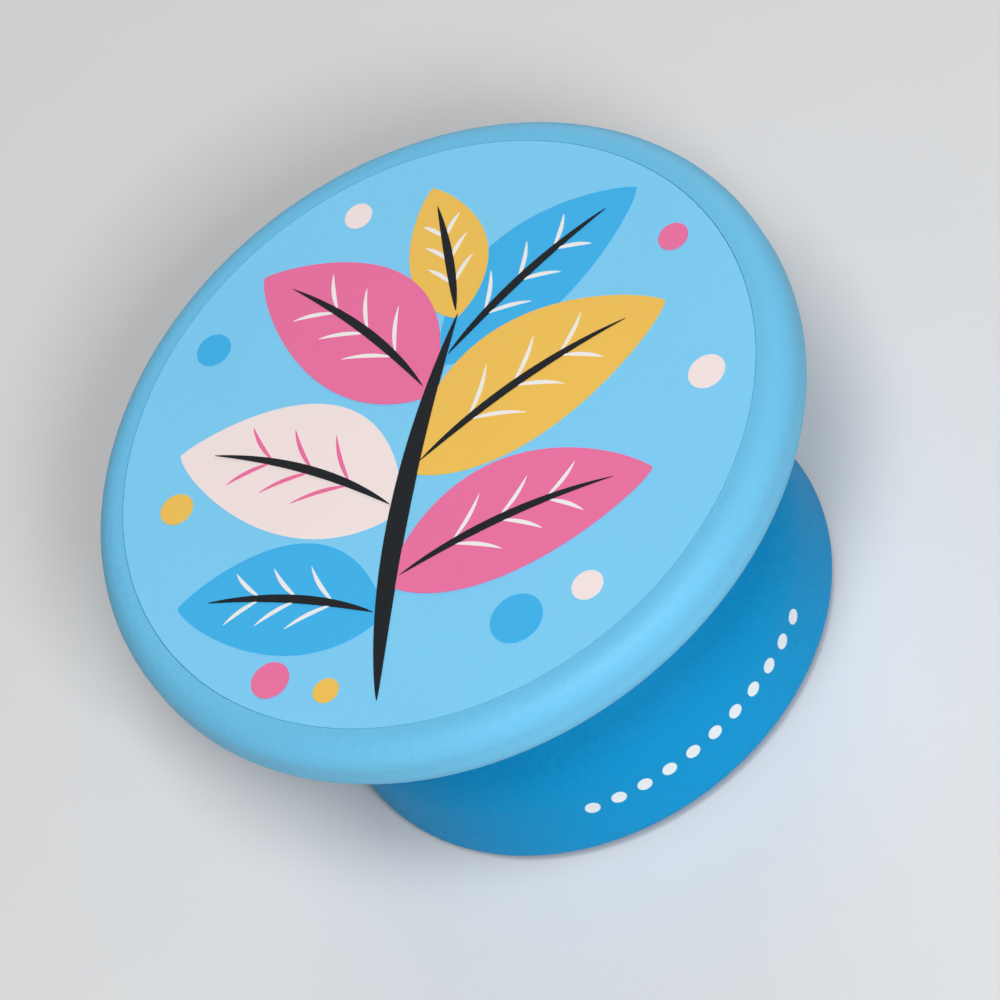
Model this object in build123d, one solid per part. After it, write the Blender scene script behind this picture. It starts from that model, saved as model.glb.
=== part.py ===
"""Collapsible phone grip, pulled out.

A printed disc turns on a snap hub in a rigid collar. The collar sits in the head of a soft
accordion, whose foot grips a base plate, and a sticky pad under the plate holds the grip in place.
The accordion is two stiff rings and a head, joined by thin sloping folds. Pushed shut, each fold
turns over, so that the ring and the head sink into the foot ring.
Sizes are in millimetres. +Z is the grip's axis, and the origin is the middle of the sticky face.
"""
import os
from math import hypot

from build123d import *

# Sticky pad
pad_thickness = 0.8
pad_inset = 0.2  # the pad's edge inside the plate's edge

# Base plate
plate_thickness = 1.5
plate_rounding = 0.2
tongue_depth = 0.6  # how far the plate's tongue reaches into the accordion's foot
tongue_height = 0.5
tongue_lift = 0.5  # the tongue above the plate's underside

# Accordion
foot_diameter = 28.8
foot_height = 5.7
foot_rounding = 0.6
foot_lip = 0.85  # outside the plate's tongue
ring_diameter = 23.4
ring_height = 4.0
ring_wall = 1.1
ring_draft = 0.2  # how far an upright wall leans in over its height
fold_wall = 0.6
lower_fold_rise = 3.9
upper_fold_rise = 2.3
foot_shoulder_rounding = 5.0  # outside, where the lower fold leaves the foot ring
ring_shoulder_rounding = 2.2
root_rounding = 1.5  # outside, where the lower fold meets the ring
neck_rounding = 0.7
head_height = 2.0
head_rounding = 0.4
neck_wall = 0.85  # outside the collar's flange
moulding_gap = 0.05  # between the accordion and the rigid pieces it holds

# Collar
collar_height = 2.0
collar_lift = 0.2  # the collar's underside above the head's underside
sleeve_wall = 1.7
flange_depth = 1.3
flange_thickness = 0.8
bore_chamfer = 0.3

# Disc's hub
hub_diameter = 10.4
hub_wall = 1.4
swivel_clearance = 0.08  # around the hub
swivel_play = 0.1  # above and below the collar
boss_height = 0.3
boss_reach = 1.4  # the thrust boss past the hub
hook_reach = 0.6
hook_land = 0.35
hook_height = 1.1
hook_taper = 0.9
slot_count = 4
slot_width = 1.6
slot_root = 0.4  # solid hub left above the slots

# Disc
disc_diameter = 40.0
disc_height = 3.4
disc_web = 1.1  # under the printed face
rim_width = 1.8
rim_rounding = 1.4
hem_rounding = 1.1
skirt_wall = 2.4
skirt_rounding = 0.6

# Printed face
face_thickness = 0.6
face_gap = 0.03

# Heights, from the sticky face up
plate_bottom = pad_thickness
plate_top = plate_bottom + plate_thickness
tongue_bottom = plate_bottom + tongue_lift
tongue_top = tongue_bottom + tongue_height
foot_top = plate_bottom + foot_height
ring_bottom = foot_top + lower_fold_rise
ring_top = ring_bottom + ring_height
head_bottom = ring_top + upper_fold_rise
head_top = head_bottom + head_height
collar_bottom = head_bottom + collar_lift
collar_top = collar_bottom + collar_height
flange_bottom = collar_bottom + (collar_height - flange_thickness) / 2
flange_top = flange_bottom + flange_thickness
thrust_face = collar_top + swivel_play
ceiling = thrust_face + boss_height
seat = ceiling + disc_web
disc_top = seat + face_thickness
disc_bottom = disc_top - disc_height
hook_top = collar_bottom - swivel_play
hub_bottom = hook_top - hook_height

# Radii, from the hub out
hub_radius = hub_diameter / 2
hook_radius = hub_radius + hook_reach
bore_radius = hub_radius + swivel_clearance
sleeve_radius = bore_radius + sleeve_wall
flange_radius = sleeve_radius + flange_depth
neck_radius = flange_radius + moulding_gap + neck_wall
ring_radius = ring_diameter / 2
foot_radius = foot_diameter / 2
tongue_radius = foot_radius - foot_lip - moulding_gap
plate_radius = tongue_radius - tongue_depth
pad_radius = plate_radius - pad_inset
disc_radius = disc_diameter / 2
seat_radius = disc_radius - rim_width
skirt_radius = disc_radius - skirt_wall


def turned(outline):
    """Solid of revolution about Z from (radius, height, corner rounding) points."""
    corners = [(radius, height) for radius, height, rounding in outline]
    roundings = [rounding for radius, height, rounding in outline]
    profile = make_face(FilletPolyline(*corners, radius=roundings, close=True))
    return revolve(Plane.XZ * profile, Axis.Z)


def fold_underside(low, high, radius):
    """Height of a fold's inner face at a radius, from the (radius, height) ends of its outer face."""
    run = low[0] - high[0]
    rise = high[1] - low[1]
    outer_height = low[1] + (low[0] - radius) * rise / run
    return outer_height - fold_wall * hypot(run, rise) / run


def make_adhesive_pad():
    """Sticky disc, die cut from foam tape."""
    return Pos(0, 0, pad_thickness / 2) * Cylinder(pad_radius, pad_thickness)


def make_base_plate():
    """Rigid plate with a tongue round its edge."""
    return turned(
        [
            (0, plate_bottom, 0),
            (plate_radius, plate_bottom, 0),
            (plate_radius, tongue_bottom, 0),
            (tongue_radius, tongue_bottom, 0),
            (tongue_radius, tongue_top, 0),
            (plate_radius, tongue_top, 0),
            (plate_radius, plate_top, plate_rounding),
            (0, plate_top, 0),
        ]
    )


def make_accordion():
    """Soft moulding: foot ring, fold, ring, fold and head, in one thin wall."""
    foot_shoulder = (foot_radius - ring_draft, foot_top)
    ring_root = (ring_radius, ring_bottom)
    ring_shoulder = (ring_radius - ring_draft, ring_top)
    neck_root = (neck_radius, head_bottom)
    outside = [
        (foot_radius, plate_bottom, foot_rounding),
        (*foot_shoulder, foot_shoulder_rounding),
        (*ring_root, root_rounding),
        (*ring_shoulder, ring_shoulder_rounding),
        (*neck_root, neck_rounding),
        (neck_radius, head_top, head_rounding),
    ]

    sleeve_seat = sleeve_radius + moulding_gap
    flange_seat = flange_radius + moulding_gap
    collar_seat = [
        (sleeve_seat, head_top, 0),
        (sleeve_seat, flange_top + moulding_gap, 0),
        (flange_seat, flange_top + moulding_gap, 0),
        (flange_seat, flange_bottom - moulding_gap, 0),
        (sleeve_seat, flange_bottom - moulding_gap, 0),
        (sleeve_seat, head_bottom, 0),
    ]

    ring_inside = ring_radius - ring_wall
    foot_inside = foot_radius - ring_wall
    ring_inside_top = fold_underside(ring_shoulder, neck_root, ring_inside)
    ring_inside_bottom = fold_underside(foot_shoulder, ring_root, ring_inside)
    foot_inside_top = fold_underside(foot_shoulder, ring_root, foot_inside)
    inside = [
        (neck_radius - ring_wall, head_bottom, 0),
        (ring_inside - ring_draft, ring_inside_top, ring_shoulder_rounding - ring_wall),
        (ring_inside, ring_inside_bottom, root_rounding + fold_wall),
        (foot_inside - ring_draft, foot_inside_top, foot_shoulder_rounding - ring_wall),
    ]

    plate_seat = plate_radius + moulding_gap
    tongue_seat = tongue_radius + moulding_gap
    plate_groove = [
        (foot_inside, plate_top, 0),
        (plate_seat, plate_top, 0),
        (plate_seat, tongue_top + moulding_gap, 0),
        (tongue_seat, tongue_top + moulding_gap, 0),
        (tongue_seat, tongue_bottom - moulding_gap, 0),
        (plate_seat, tongue_bottom - moulding_gap, 0),
        (plate_seat, plate_bottom, 0),
    ]
    return turned(outside + collar_seat + inside + plate_groove)


def make_neck_collar():
    """Rigid ring with a flange that the accordion's head holds all round."""
    collar = turned(
        [
            (bore_radius, collar_bottom, 0),
            (sleeve_radius, collar_bottom, 0),
            (sleeve_radius, flange_bottom, 0),
            (flange_radius, flange_bottom, 0),
            (flange_radius, flange_top, 0),
            (sleeve_radius, flange_top, 0),
            (sleeve_radius, collar_top, 0),
            (bore_radius, collar_top, 0),
        ]
    )
    top_edges = collar.edges().filter_by(GeomType.CIRCLE).group_by(Axis.Z)[-1]
    return chamfer(top_edges.sort_by(SortBy.RADIUS)[0], bore_chamfer)


def make_top_disc():
    """Hollow disc with a seat for the printed face and a split snap hub below."""
    hub_bore = hub_radius - hub_wall
    disc = turned(
        [
            (0, seat, 0),
            (seat_radius, seat, 0),
            (seat_radius, disc_top, 0),
            (disc_radius, disc_top, rim_rounding),
            (disc_radius, disc_bottom, hem_rounding),
            (skirt_radius, disc_bottom, skirt_rounding),
            (skirt_radius, ceiling, skirt_rounding),
            (hub_radius + boss_reach, ceiling, 0),
            (hub_radius + boss_reach, thrust_face, 0),
            (hub_radius, thrust_face, 0),
            (hub_radius, hook_top, 0),
            (hook_radius, hook_top, 0),
            (hook_radius, hook_top - hook_land, 0),
            (hook_radius - hook_taper, hub_bottom, 0),
            (hub_bore, hub_bottom, 0),
            (hub_bore, ceiling, 0),
            (0, ceiling, 0),
        ]
    )
    slot_top = thrust_face - slot_root
    slot = Pos(hook_radius / 2, 0, (hub_bottom + slot_top) / 2) * Box(
        hook_radius + slot_root, slot_width, slot_top - hub_bottom
    )
    for place in PolarLocations(0, slot_count):
        disc -= place * slot
    return disc


def make_printed_face():
    """Thin printed disc, die cut and flush with the rim."""
    return Pos(0, 0, seat + face_thickness / 2) * Cylinder(seat_radius - face_gap, face_thickness)


nodes = {
    "adhesive_pad": make_adhesive_pad(),
    "base_plate": make_base_plate(),
    "accordion": make_accordion(),
    "neck_collar": make_neck_collar(),
    "top_disc": make_top_disc(),
    "printed_face": make_printed_face(),
}
os.makedirs("parts", exist_ok=True)
for name, solid in nodes.items():
    export_step(solid, f"parts/{name}.step")
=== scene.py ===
"""Looks of the collapsible phone grip: finishes, leaf print, soft accordion, light and camera."""
from math import atan2, cos, degrees, hypot, pi, radians, sin, tan

import bmesh
import bpy
from mathutils import Matrix, Quaternion, Vector


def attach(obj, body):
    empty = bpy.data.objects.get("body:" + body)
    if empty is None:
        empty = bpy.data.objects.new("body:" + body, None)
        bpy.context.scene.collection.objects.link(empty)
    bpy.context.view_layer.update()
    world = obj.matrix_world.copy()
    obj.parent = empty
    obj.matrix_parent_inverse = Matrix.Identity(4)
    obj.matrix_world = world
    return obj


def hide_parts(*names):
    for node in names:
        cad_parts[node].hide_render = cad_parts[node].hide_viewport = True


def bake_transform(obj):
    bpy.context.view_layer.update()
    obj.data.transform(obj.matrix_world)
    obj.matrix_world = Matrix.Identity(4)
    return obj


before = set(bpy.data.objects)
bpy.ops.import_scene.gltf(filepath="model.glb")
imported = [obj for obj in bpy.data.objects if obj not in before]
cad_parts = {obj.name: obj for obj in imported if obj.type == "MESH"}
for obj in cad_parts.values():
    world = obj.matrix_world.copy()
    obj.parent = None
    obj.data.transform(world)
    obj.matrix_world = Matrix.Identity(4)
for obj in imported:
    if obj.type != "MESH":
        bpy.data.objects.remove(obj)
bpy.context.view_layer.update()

MM = 0.001  # lengths below are in millimetres, and each finished piece is scaled to metres

# Accordion's rings and folds, as the solid has them
FOOT_RADIUS = 14.40
RING_RADIUS = 11.70
NECK_RADIUS = 9.18
RING_DRAFT = 0.20  # how far an upright wall leans in over its height
RING_WALL = 1.10
FOLD_WALL = 0.60
FOOT_BOTTOM = 0.80
FOOT_TOP = 6.50
RING_BOTTOM = 10.40
RING_TOP = 14.40
HEAD_BOTTOM = 16.70
HEAD_TOP = 18.70
FOOT_ROUNDING = 0.6
FOOT_SHOULDER_ROUNDING = 5.0  # outside, where the lower fold leaves the foot ring
ROOT_ROUNDING = 1.5  # outside, where the lower fold meets the middle ring
RING_SHOULDER_ROUNDING = 2.2
NECK_ROUNDING = 0.7
HEAD_ROUNDING = 0.4
# Seats of the collar's sleeve and flange in its head, and of the plate and its tongue in its foot
SLEEVE_SEAT = 7.03
FLANGE_SEAT = 8.33
FLANGE_SEAT_BOTTOM = 17.45
FLANGE_SEAT_TOP = 18.35
PLATE_SEAT = 12.95
TONGUE_SEAT = 13.55
TONGUE_SEAT_BOTTOM = 1.25
TONGUE_SEAT_TOP = 1.85
PLATE_TOP = 2.30
CORNER_SEGMENTS = 10
TURN_STEPS = 192
SHARP_ANGLE = 30  # degrees between faces, past which an edge looks sharp

# Print on the disc: a sprig of big leaves, in the face's own plane
FACE_HEIGHT = 21.0
INK_STEP = 0.012  # each ink lies this much higher than the one before
INK_BITE = 0.010  # and starts this far inside what it is printed on
FIELD_SEGMENTS = 72  # round a leaf's outline, and the floor's
DOT_SEGMENTS = 36
LEAF_POINT = 0.62  # how sharply a leaf comes to its points
LEAF_FULLNESS = 0.16  # how much wider it is near its base
RIB_START = 0.05  # the dark midrib's ends, as shares of the leaf
RIB_END = 0.86
RIB_WIDTH = 0.50
VEIN_PLACES = (0.26, 0.44, 0.62)  # where fine veins leave the midrib, as shares of the leaf
VEIN_ANGLE = 40
VEIN_REACH = 0.48  # of the leaf's width, for a vein at the leaf's base
VEIN_SHORTENING = 0.5  # of that reach, from the leaf's base to its tip
VEIN_BEND = 0.05  # of the vein's reach
VEIN_WIDTH = 0.24
STEM_BASE = (-3.3, -16.2)
STEM_TURN = 79
STEM_LENGTH = 23.8
STEM_WIDTH = 1.15
STEM_BEND = 1.0
LEAVES = [
    # ink, veins' ink, place as a share of the stem, turn from X in degrees, length, width, bend
    ("mid blue", "white", 0.22, 163, 12.4, 6.8, -0.8),
    ("blush", "pink", 0.49, 151, 14.6, 8.0, -1.0),
    ("pink", "white", 0.79, 133, 14.2, 7.4, -0.8),
    ("pink", "white", 0.30, 12, 15.4, 7.2, 1.0),
    ("amber", "white", 0.59, 25, 16.2, 7.8, 1.0),
    ("mid blue", "white", 0.87, 36, 14.0, 6.2, 0.7),
    ("amber", "white", 0.99, 99, 9.0, 4.5, -0.2),
]
BERRIES = [
    # ink, x, y, radius
    ("pink", -9.4, -13.3, 1.10),
    ("amber", -6.2, -14.8, 0.75),
    ("mid blue", 4.6, -13.2, 1.50),
    ("blush", 8.6, -12.2, 0.90),
    ("amber", -15.0, -0.9, 0.95),
    ("blush", 15.4, -0.6, 1.05),
    ("mid blue", -13.0, 8.9, 1.00),
    ("pink", 13.6, 8.6, 0.85),
    ("blush", -4.6, 15.3, 0.80),
]
INKS = {
    "blush": "#FAEAE8",
    "mid blue": "#43B7F0",
    "amber": "#F5C65C",
    "pink": "#F076A6",
    "white": "#F6F4F2",
    "black": "#14181D",
}
LINE_INK = "black"  # of the midribs and the stem

# Row of plain dots on the accordion's foot
FOOT_DOT_COUNT = 11
FOOT_DOT_RADIUS = 0.42
FOOT_DOT_SPACING = 6.2  # degrees
FOOT_DOT_HEIGHT = 4.4
FOOT_DOT_AZIMUTH = 38.0

# Photograph's view
VIEW_AZIMUTH = 30.0
VIEW_ELEVATION = 48.7
VIEW_ROLL = 37.5
VIEW_DISTANCE = 580.0
FRAME_WIDTH = 52.6  # what the picture spans at the disc
DISC_HEIGHT = 19.4  # middle of the disc's rim
DISC_IN_FRAME = (-2.71, 2.82)  # disc's middle from the picture's middle, right and up
NEAR_CLIP = 10.0  # nearest that the camera sees
FAR_CLIP = 5000.0  # and farthest

# Colours, and the faint drift in the finishes
# painted shade: the disc's sky blue made darker than the face's film, so that the lit rim shows no brighter
# than the face
SKY_BLUE_WITH_PAINTED_SHADE = "#6EC2EA"
FILM_BLUE = "#80D1F9"
DEEP_BLUE = "#0098D4"
FOAM_GREY = "#2B2D30"
DOT_WHITE = "#EEF4F6"
FLOOR_GREY = "#E8E8E8"
CLOUD_SIZE = 9.0  # of the faint drift of colour
GLOSS_DRIFT = 0.06  # of the roughness, either way

# Studio: the key, above the camera, shades the body under the disc, the front lamp, just below the
# camera, puts a halo behind the disc, and a wide fill comes from behind
FLOOR_RADIUS = 700.0
FADE_START = 90.0  # from the grip's axis, where the floor begins to go over into the backdrop
FADE_END = 330.0
WORLD_LIGHT = 0.09  # on the grip
BACKDROP_LIGHT = 0.76  # as seen behind the grip
LAMPS = [
    # name, azimuth, elevation, distance, size of its square, watts
    ("front", VIEW_AZIMUTH + 4, 43, 500, 90, 1.05),
    ("key", VIEW_AZIMUTH, 62, 700, 200, 2.35),
    ("fill", VIEW_AZIMUTH + 150, 20, 900, 500, 2.0),
]


def linear(hex_colour):
    """Linear RGBA of an sRGB hex colour."""
    channels = [int(hex_colour[start:start + 2], 16) / 255 for start in (1, 3, 5)]
    return [c / 12.92 if c <= 0.04045 else ((c + 0.055) / 1.055) ** 2.4 for c in channels] + [1.0]


def add_node(tree, kind, settings=None, links=None):
    """New node, with its properties or input values set and its inputs linked from other sockets."""
    node = tree.nodes.new(kind)
    for key, value in (settings or {}).items():
        if key in node.inputs:
            node.inputs[key].default_value = value
        else:
            setattr(node, key, value)
    for key, socket in (links or {}).items():
        tree.links.new(socket, node.inputs[key])
    return node


def grained(name, colour, roughness, grain, depth, ior, specular=0.5, drift=0.03):
    """Opaque finish: a faint drift of colour, and a grain of a size and depth in its gloss and relief."""
    material = bpy.data.materials.new(name)
    material.use_nodes = True
    tree = material.node_tree
    shader = tree.nodes["Principled BSDF"]
    shader.inputs["IOR"].default_value = ior
    shader.inputs["Specular IOR Level"].default_value = specular
    place = add_node(tree, "ShaderNodeTexCoord").outputs["Object"]
    cloud = add_node(
        tree, "ShaderNodeTexNoise", {"Scale": 1 / (CLOUD_SIZE * MM), "Detail": 2.0}, {"Vector": place}
    ).outputs["Fac"]
    speckle = add_node(
        tree, "ShaderNodeTexNoise", {"Scale": 1 / (grain * MM), "Detail": 1.0}, {"Vector": place}
    ).outputs["Fac"]
    value = add_node(
        tree, "ShaderNodeMapRange", {"To Min": 1 - drift, "To Max": 1 + drift}, {"Value": cloud}
    )
    tint = add_node(
        tree, "ShaderNodeHueSaturation", {"Color": linear(colour)}, {"Value": value.outputs["Result"]}
    )
    gloss = add_node(
        tree,
        "ShaderNodeMapRange",
        {"To Min": roughness - GLOSS_DRIFT, "To Max": roughness + GLOSS_DRIFT},
        {"Value": speckle},
    )
    relief = add_node(tree, "ShaderNodeBump", {"Distance": depth * MM}, {"Height": speckle})
    tree.links.new(tint.outputs["Color"], shader.inputs["Base Color"])
    tree.links.new(gloss.outputs["Result"], shader.inputs["Roughness"])
    tree.links.new(relief.outputs["Normal"], shader.inputs["Normal"])
    return material


def seen_rays(tree):
    """Socket that is 1 for what the eye sees, also mirrored or through glass, and 0 for light on things."""
    rays = add_node(tree, "ShaderNodeLightPath").outputs
    seen = rays["Is Camera Ray"]
    for kind in ("Is Glossy Ray", "Is Transmission Ray"):
        either = add_node(tree, "ShaderNodeMath", {"operation": "MAXIMUM"}, {0: seen, 1: rays[kind]})
        seen = either.outputs[0]
    return seen


def fade_to_backdrop(material):
    """Lets a floor go over into the backdrop far from the grip, so that low views show no horizon."""
    tree = material.node_tree
    place = add_node(tree, "ShaderNodeTexCoord").outputs["Object"]
    reach = add_node(tree, "ShaderNodeVectorMath", {"operation": "LENGTH"}, {0: place}).outputs["Value"]
    far = add_node(
        tree,
        "ShaderNodeMapRange",
        {"interpolation_type": "SMOOTHSTEP", "From Min": FADE_START * MM, "From Max": FADE_END * MM},
        {"Value": reach},
    ).outputs["Result"]
    share = add_node(tree, "ShaderNodeMath", {"operation": "MULTIPLY"}, {0: far, 1: seen_rays(tree)})
    backdrop = add_node(tree, "ShaderNodeEmission", {"Strength": BACKDROP_LIGHT})
    paint = tree.nodes["Principled BSDF"]
    both = add_node(
        tree, "ShaderNodeMixShader", {}, {0: share.outputs[0], 1: paint.outputs[0], 2: backdrop.outputs[0]}
    )
    tree.links.new(both.outputs[0], tree.nodes["Material Output"].inputs["Surface"])


def make_piece(shape, name, material):
    """Object from a bmesh in millimetres, smooth apart from its sharp edges."""
    bmesh.ops.recalc_face_normals(shape, faces=shape.faces[:])
    bmesh.ops.scale(shape, vec=(MM, MM, MM), verts=shape.verts[:])
    mesh = bpy.data.meshes.new(name)
    shape.to_mesh(mesh)
    shape.free()
    mesh.shade_smooth()
    mesh.set_sharp_from_angle(angle=radians(SHARP_ANGLE))
    mesh.materials.append(material)
    piece = bpy.data.objects.new(name, mesh)
    bpy.context.scene.collection.objects.link(piece)
    return piece


def turned(outline):
    """Closed ring turned about Z from (radius, height, corner rounding) points."""
    shape = bmesh.new()
    corners = [shape.verts.new((radius, 0, height)) for radius, height, rounding in outline]
    for here, there in zip(corners, corners[1:] + corners[:1]):
        shape.edges.new((here, there))
    for index, (radius, height, rounding) in enumerate(outline):
        if not rounding:
            continue
        here = Vector((radius, height))
        before = Vector(outline[index - 1][:2]) - here
        after = Vector(outline[(index + 1) % len(outline)][:2]) - here
        bmesh.ops.bevel(
            shape,
            geom=[corners[index]],
            offset=rounding / tan(before.angle(after) / 2),
            offset_type="OFFSET",
            segments=CORNER_SEGMENTS,
            profile=0.5,
            affect="VERTICES",
            material=-1,
        )
    bmesh.ops.spin(
        shape,
        geom=shape.verts[:] + shape.edges[:],
        cent=(0, 0, 0),
        axis=(0, 0, 1),
        angle=2 * pi,
        steps=TURN_STEPS,
        use_merge=True,
    )
    return shape


def fold_underside(low, high, radius):
    """Height of a fold's inner face at a radius, from the (radius, height) ends of its outer face."""
    run = low[0] - high[0]
    rise = high[1] - low[1]
    outer_height = low[1] + (low[0] - radius) * rise / run
    return outer_height - FOLD_WALL * hypot(run, rise) / run


def print_field(shape, verts, place, height):
    """Raises a flat field to a thin plate of ink and puts it in its place."""
    raised = bmesh.ops.extrude_face_region(shape, geom=[verts[0].link_faces[0]])
    tops = [item for item in raised["geom"] if isinstance(item, bmesh.types.BMVert)]
    bmesh.ops.translate(shape, verts=verts, vec=(0, 0, -INK_BITE))
    bmesh.ops.translate(shape, verts=tops, vec=(0, 0, height))
    bmesh.ops.transform(shape, matrix=place, verts=verts + tops)


def add_leaf(shape, place, length, width, bend, height):
    """Bent field of ink, pointed at both ends, along X from its base: a leaf, rib, vein or stem."""
    verts = bmesh.ops.create_circle(shape, cap_ends=True, radius=1, segments=FIELD_SEGMENTS)["verts"]
    for vert in verts:
        along, across = vert.co.x, vert.co.y
        half_width = across * abs(across) ** LEAF_POINT * (1 - LEAF_FULLNESS * along) * width / 2
        vert.co = ((along + 1) / 2 * length, half_width + bend * (1 - along ** 2), 0)
    print_field(shape, verts, place, height)


def add_dot(shape, place, radius, height):
    """Round dot of ink."""
    verts = bmesh.ops.create_circle(shape, cap_ends=True, radius=radius, segments=DOT_SEGMENTS)["verts"]
    print_field(shape, verts, place, height)


def on_face(x, y, turn=0):
    """Place on the disc's face, turned in its plane by an angle in degrees."""
    return Matrix.Translation((x, y, FACE_HEIGHT)) @ Matrix.Rotation(radians(turn), 4, "Z")


def on_midline(share, length, bend):
    """Point on a leaf's bent midline, and the midline's direction there in degrees."""
    along = 2 * share - 1
    return share * length, bend * (1 - along ** 2), degrees(atan2(-4 * bend * along, length))


def on_stem(share, turn):
    """Place on the print's stem, turned in the face's plane from X by an angle in degrees."""
    along, across = on_midline(share, STEM_LENGTH, STEM_BEND)[:2]
    return (
        on_face(*STEM_BASE, STEM_TURN)
        @ Matrix.Translation((along, across, 0))
        @ Matrix.Rotation(radians(turn - STEM_TURN), 4, "Z")
    )


def add_midrib(shape, place, length, bend, height):
    """Dark line along the middle of a leaf."""
    start = Vector(on_midline(RIB_START, length, bend)[:2])
    run = Vector(on_midline(RIB_END, length, bend)[:2]) - start
    turn = Matrix.Translation((*start, 0)) @ Matrix.Rotation(atan2(run.y, run.x), 4, "Z")
    add_leaf(shape, place @ turn, run.length, RIB_WIDTH, bend * (RIB_END - RIB_START) ** 2, height)


def add_veins(shape, place, length, width, bend, height):
    """Fine veins that leave a leaf's midrib on both sides."""
    for share in VEIN_PLACES:
        x, y, slope = on_midline(share, length, bend)
        reach = VEIN_REACH * width * (1 - VEIN_SHORTENING * share)
        for side in (-1, 1):
            start = Matrix.Translation((x, y + side * VEIN_WIDTH / 2, 0))
            turn = Matrix.Rotation(radians(slope + side * VEIN_ANGLE), 4, "Z")
            add_leaf(shape, place @ start @ turn, reach, VEIN_WIDTH, -side * VEIN_BEND * reach, height)


def direction(azimuth, elevation):
    """Unit vector from the grip towards an azimuth and elevation in degrees."""
    turn = radians(azimuth)
    rise = radians(elevation)
    return Vector((sin(turn) * cos(rise), -cos(turn) * cos(rise), sin(rise)))


def add_lamp(name, azimuth, elevation, distance, size, power):
    """Square soft box that points at the grip."""
    lamp = bpy.data.lights.new(name, "AREA")
    lamp.size = size * MM
    lamp.energy = power
    stand = bpy.data.objects.new(name, lamp)
    bpy.context.scene.collection.objects.link(stand)
    way = direction(azimuth, elevation)
    stand.location = way * distance * MM
    stand.rotation_mode = "QUATERNION"
    stand.rotation_quaternion = (-way).to_track_quat("-Z", "Y")


# Injection-moulded ABS: even sky blue with painted shade, a darker blue than the face's film so that the
# lit rim is no brighter than the face; satin from a spark-eroded mould, its grain drawn coarser to show
moulded_abs = grained(
    "moulded ABS", SKY_BLUE_WITH_PAINTED_SHADE, roughness=0.52, grain=0.35, depth=0.03, ior=1.53, specular=0.2
)
# Printed polycarbonate film: the disc's own sky blue, paler than the ABS, whose blue carries painted shade;
# smooth, with a slight orange peel
printed_film = grained(
    "printed film", FILM_BLUE, roughness=0.42, grain=0.70, depth=0.02, ior=1.58, specular=0.3
)
# Moulded TPU: deep blue, soft and nearly matt, with a deeper mould grain that is drawn coarser to show
moulded_tpu = grained(
    "moulded TPU", DEEP_BLUE, roughness=0.58, grain=0.42, depth=0.09, ior=1.50, specular=0.15
)
# Moulded polycarbonate of the hidden collar and plate: deep blue, smooth
moulded_pc = grained(
    "moulded polycarbonate", DEEP_BLUE, roughness=0.36, grain=0.30, depth=0.004, ior=1.58
)
# Acrylic foam tape: dark grey, dull, with an open cell grain
foam_tape = grained(
    "acrylic foam tape", FOAM_GREY, roughness=0.75, grain=0.45, depth=0.04, ior=1.47, drift=0.12
)
# Pad ink: soft white, flat
pad_ink = grained(
    "pad ink", DOT_WHITE, roughness=0.5, grain=0.35, depth=0.003, ior=1.50, specular=0.3
)

for node, material in (
    ("top_disc", moulded_abs),
    ("printed_face", printed_film),
    ("neck_collar", moulded_pc),
    ("base_plate", moulded_pc),
    ("adhesive_pad", foam_tape),
):
    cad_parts[node].data.materials.clear()
    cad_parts[node].data.materials.append(material)

# Soft accordion, turned from one outline of its foot, rings, folds and head, in place of the solid's
# accordion
foot_shoulder = (FOOT_RADIUS - RING_DRAFT, FOOT_TOP)
ring_root = (RING_RADIUS, RING_BOTTOM)
ring_shoulder = (RING_RADIUS - RING_DRAFT, RING_TOP)
neck_root = (NECK_RADIUS, HEAD_BOTTOM)
ring_inside = RING_RADIUS - RING_WALL
foot_inside = FOOT_RADIUS - RING_WALL
ring_inside_top = fold_underside(ring_shoulder, neck_root, ring_inside)
ring_inside_bottom = fold_underside(foot_shoulder, ring_root, ring_inside)
foot_inside_top = fold_underside(foot_shoulder, ring_root, foot_inside)
accordion_outline = [
    (FOOT_RADIUS, FOOT_BOTTOM, FOOT_ROUNDING),
    (*foot_shoulder, FOOT_SHOULDER_ROUNDING),
    (*ring_root, ROOT_ROUNDING),
    (*ring_shoulder, RING_SHOULDER_ROUNDING),
    (*neck_root, NECK_ROUNDING),
    (NECK_RADIUS, HEAD_TOP, HEAD_ROUNDING),
    (SLEEVE_SEAT, HEAD_TOP, 0),
    (SLEEVE_SEAT, FLANGE_SEAT_TOP, 0),
    (FLANGE_SEAT, FLANGE_SEAT_TOP, 0),
    (FLANGE_SEAT, FLANGE_SEAT_BOTTOM, 0),
    (SLEEVE_SEAT, FLANGE_SEAT_BOTTOM, 0),
    (SLEEVE_SEAT, HEAD_BOTTOM, 0),
    (NECK_RADIUS - RING_WALL, HEAD_BOTTOM, 0),
    (ring_inside - RING_DRAFT, ring_inside_top, RING_SHOULDER_ROUNDING - RING_WALL),
    (ring_inside, ring_inside_bottom, ROOT_ROUNDING + FOLD_WALL),
    (foot_inside - RING_DRAFT, foot_inside_top, FOOT_SHOULDER_ROUNDING - RING_WALL),
    (foot_inside, PLATE_TOP, 0),
    (PLATE_SEAT, PLATE_TOP, 0),
    (PLATE_SEAT, TONGUE_SEAT_TOP, 0),
    (TONGUE_SEAT, TONGUE_SEAT_TOP, 0),
    (TONGUE_SEAT, TONGUE_SEAT_BOTTOM, 0),
    (PLATE_SEAT, TONGUE_SEAT_BOTTOM, 0),
    (PLATE_SEAT, FOOT_BOTTOM, 0),
]
accordion = make_piece(turned(accordion_outline), "accordion_soft", moulded_tpu)
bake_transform(accordion)
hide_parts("accordion")

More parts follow.
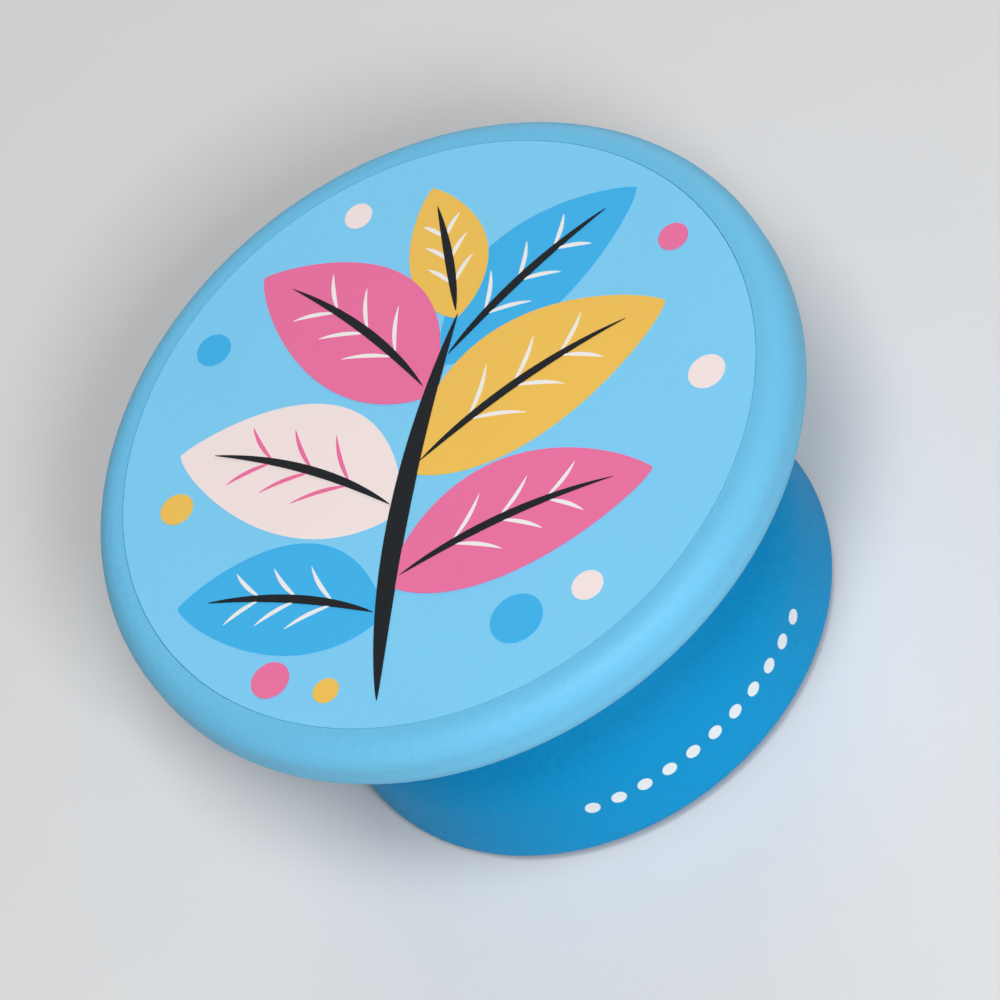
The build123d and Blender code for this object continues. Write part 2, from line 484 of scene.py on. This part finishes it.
# Leaf print, one piece per ink in the order that they are printed
for level, (ink, colour) in enumerate(INKS.items(), start=1):
    height = level * INK_STEP
    shape = bmesh.new()
    for leaf_ink, vein_ink, share, turn, length, width, bend in LEAVES:
        place = on_stem(share, turn)
        if leaf_ink == ink:
            add_leaf(shape, place, length, width, bend, height)
        if vein_ink == ink:
            add_veins(shape, place, length, width, bend, height)
        if ink == LINE_INK:
            add_midrib(shape, place, length, bend, height)
    for berry_ink, x, y, radius in BERRIES:
        if berry_ink == ink:
            add_dot(shape, on_face(x, y), radius, height)
    # Screen ink: flat, opaque and a little duller than the film
    finish = grained(
        f"screen ink, {ink}", colour, roughness=0.45, grain=0.35, depth=0.003, ior=1.50, specular=0.15
    )
    field = make_piece(shape, "print_" + ink.replace(" ", "_"), finish)
    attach(field, "disc")
    if ink == LINE_INK:
        stem_shape = bmesh.new()
        place = on_face(*STEM_BASE, STEM_TURN)
        add_leaf(stem_shape, place, STEM_LENGTH, STEM_WIDTH, STEM_BEND, height + INK_STEP)
        stem = make_piece(stem_shape, "print_stem", finish)
        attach(stem, "disc")

# Row of plain dots, pad printed on the foot's leaning wall
foot_lean = atan2(RING_DRAFT, FOOT_TOP - FOOT_BOTTOM)
foot_dot_radius = FOOT_RADIUS - tan(foot_lean) * (FOOT_DOT_HEIGHT - FOOT_BOTTOM)
shape = bmesh.new()
for index in range(FOOT_DOT_COUNT):
    azimuth = FOOT_DOT_AZIMUTH + (index - (FOOT_DOT_COUNT - 1) / 2) * FOOT_DOT_SPACING
    place = (
        Matrix.Rotation(radians(azimuth), 4, "Z")
        @ Matrix.Translation((0, -foot_dot_radius, FOOT_DOT_HEIGHT))
        @ Matrix.Rotation(pi / 2 - foot_lean, 4, "X")
    )
    add_dot(shape, place, FOOT_DOT_RADIUS, INK_STEP)
foot_dots = make_piece(shape, "foot_dots", pad_ink)
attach(foot_dots, "base")

# Plain pale floor
floor_shape = bmesh.new()
bmesh.ops.create_circle(floor_shape, cap_ends=True, radius=FLOOR_RADIUS, segments=FIELD_SEGMENTS)
floor_paint = grained(
    "matt paint", FLOOR_GREY, roughness=0.8, grain=2.0, depth=0.001, ior=1.45, specular=0.1, drift=0.01
)
fade_to_backdrop(floor_paint)
floor = make_piece(floor_shape, "floor", floor_paint)

# Soft light, and a pale backdrop that shows behind the grip and in its gloss
world = bpy.data.worlds.new("studio")
world.use_nodes = True
sky = world.node_tree
sky.nodes["Background"].inputs["Color"].default_value = (1, 1, 1, 1)
strength = add_node(
    sky, "ShaderNodeMapRange", {"To Min": WORLD_LIGHT, "To Max": BACKDROP_LIGHT}, {"Value": seen_rays(sky)}
)
sky.links.new(strength.outputs["Result"], sky.nodes["Background"].inputs["Strength"])
bpy.context.scene.world = world
for lamp in LAMPS:
    add_lamp(*lamp)

# Camera at the photograph's angle
camera = bpy.data.cameras.new("camera")
camera.lens = camera.sensor_width * VIEW_DISTANCE / FRAME_WIDTH
camera.clip_start = NEAR_CLIP * MM
camera.clip_end = FAR_CLIP * MM
tripod = bpy.data.objects.new("camera", camera)
bpy.context.scene.collection.objects.link(tripod)
bpy.context.scene.camera = tripod
back = direction(VIEW_AZIMUTH, VIEW_ELEVATION)
turn = (-back).to_track_quat("-Z", "Y") @ Quaternion((0, 0, 1), -radians(VIEW_ROLL))
right = turn @ Vector((1, 0, 0))
up = turn @ Vector((0, 1, 0))
aim = Vector((0, 0, DISC_HEIGHT)) - right * DISC_IN_FRAME[0] - up * DISC_IN_FRAME[1]
tripod.rotation_mode = "QUATERNION"
tripod.rotation_quaternion = turn
tripod.location = (aim + back * VIEW_DISTANCE) * MM

bpy.context.scene.view_settings.view_transform = "Standard"
